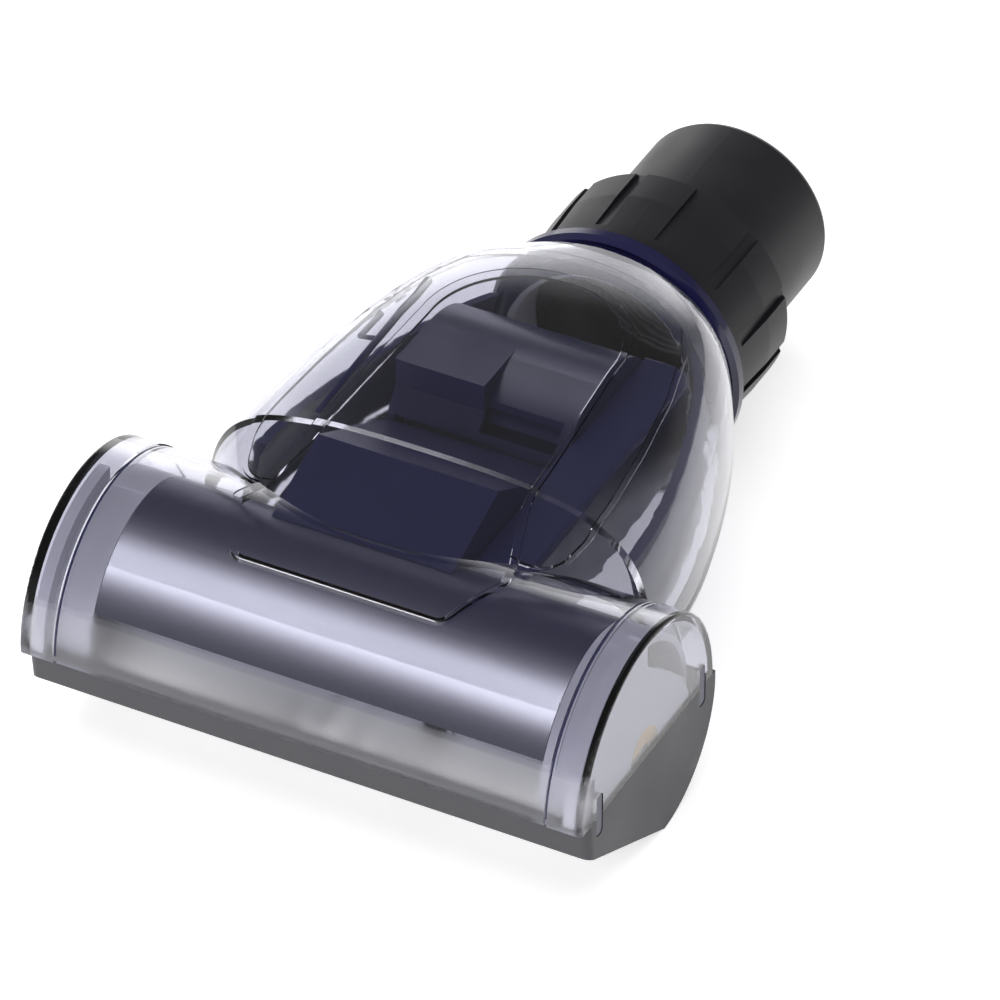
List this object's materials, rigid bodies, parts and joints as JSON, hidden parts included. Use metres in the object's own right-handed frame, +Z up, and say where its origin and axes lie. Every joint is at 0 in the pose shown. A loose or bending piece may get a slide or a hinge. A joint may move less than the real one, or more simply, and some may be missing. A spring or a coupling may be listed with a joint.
{
  "type": "vacuum turbo brush",
  "caption": "Air-driven turbo brush head with a clear cover over a helical brush roll, belt drive and turbine, a grip collar and a swivelling wand connector.",
  "frame": {"origin": "on the floor, under the middle of the whole length and width", "axes": "+X across the head, +Y from the head to the connector's mouth, +Z up"},
  "size_m": [0.132, 0.205, 0.066],
  "materials": {
    "clear_plastic": "clear, polished",
    "grey_plastic": "fine matt grain",
    "light_plastic": "satin",
    "navy_plastic": "gloss",
    "black_plastic": "satin",
    "soft_rubber": "matt",
    "belt_rubber": "matt",
    "roll_plastic": "satin",
    "bristle": "stiff nylon filaments",
    "steel": "ground",
    "bush_brass": "turned"
  },
  "bodies": {
    "frame": {"sole_housing": "grey_plastic", "clear_cover": "clear_plastic", "lower_shell": "clear_plastic", "brush_tunnel": "navy_plastic", "air_duct": "navy_plastic", "turbine_housing": "navy_plastic", "turbine_bush_left": "bush_brass", "turbine_bush_right": "bush_brass", "drive_belt": "belt_rubber", "brush_bush_left": "bush_brass", "brush_bush_right": "bush_brass", "end_plate_left": "light_plastic", "end_plate_right": "light_plastic", "belt_cover": "navy_plastic", "guide_wall_left": "navy_plastic", "guide_wall_right": "navy_plastic", "neck_ring": "navy_plastic", "retaining_ring": "black_plastic", "outlet_liner": "light_plastic", "screws": "steel", "latch_front_left": "navy_plastic", "latch_front_right": "navy_plastic", "latch_rear_left": "navy_plastic", "latch_rear_right": "navy_plastic"},
    "brush_roll": {"brush_core": "roll_plastic", "bristle_tufts": "bristle", "brush_axle": "steel", "brush_pulley": "roll_plastic"},
    "turbine": {"turbine_wheel": "navy_plastic", "turbine_shaft": "steel", "drive_pulley": "roll_plastic"},
    "collar": {"grip_collar": "black_plastic"},
    "connector": {"connector_tube": "black_plastic", "adaptor_sleeve": "soft_rubber"}
  },
  "joints": [
    {"name": "brush_spin", "type": "hinge", "parent": "frame", "child": "brush_roll", "pos_m": [0, -0.072, 0.02598], "axis": [1, 0, 0], "continuous": true},
    {"name": "turbine_spin", "type": "hinge", "parent": "frame", "child": "turbine", "pos_m": [0, 0.0055, 0.032], "axis": [1, 0, 0], "continuous": true},
    {"name": "collar_turn", "type": "hinge", "parent": "frame", "child": "collar", "pos_m": [0, 0.058, 0.0308], "axis": [0, 1, 0], "range_deg": [0, 60]},
    {"name": "tube_swivel", "type": "hinge", "parent": "frame", "child": "connector", "pos_m": [0, 0.08, 0.0308], "axis": [0, 1, 0], "continuous": true}
  ],
  "couplings": [
    {"joint": "brush_spin", "follows": "turbine_spin", "ratio": 0.5}
  ]
}
